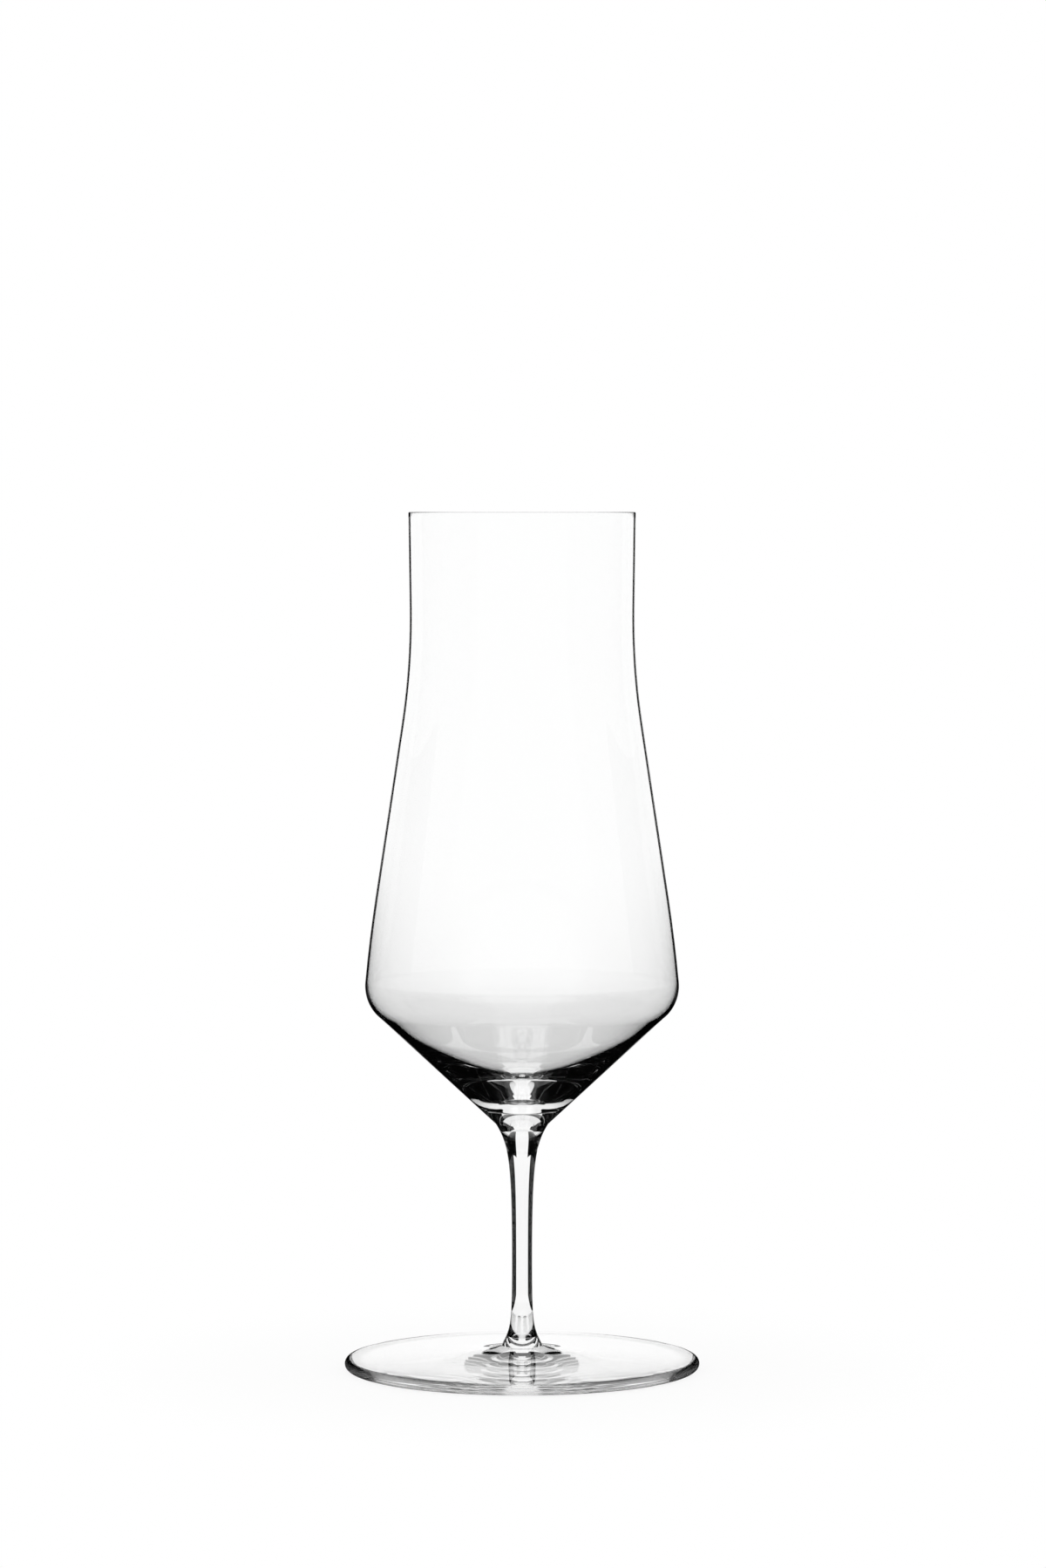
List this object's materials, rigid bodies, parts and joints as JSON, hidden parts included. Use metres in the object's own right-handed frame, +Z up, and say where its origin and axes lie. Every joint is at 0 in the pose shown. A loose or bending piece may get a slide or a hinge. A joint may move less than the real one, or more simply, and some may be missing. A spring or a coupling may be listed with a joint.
{
  "type": "stemmed drinking glass",
  "caption": "Clear stemmed drinking glass with a tall tapered bowl, straight mouth, conical base, slim stem and thin round foot.",
  "frame": {"origin": "centre of the foot's resting ring, on the surface that the glass stands on", "axes": "+Z up along the glass's axis, +Y away from the picture's camera, +X to its right"},
  "size_m": [0.085, 0.085, 0.205],
  "materials": {
    "clear_glass": "clear, colourless, fire-polished"
  },
  "bodies": {
    "root": {"bowl": "clear_glass", "stem": "clear_glass", "foot": "clear_glass"}
  },
  "joints": []
}
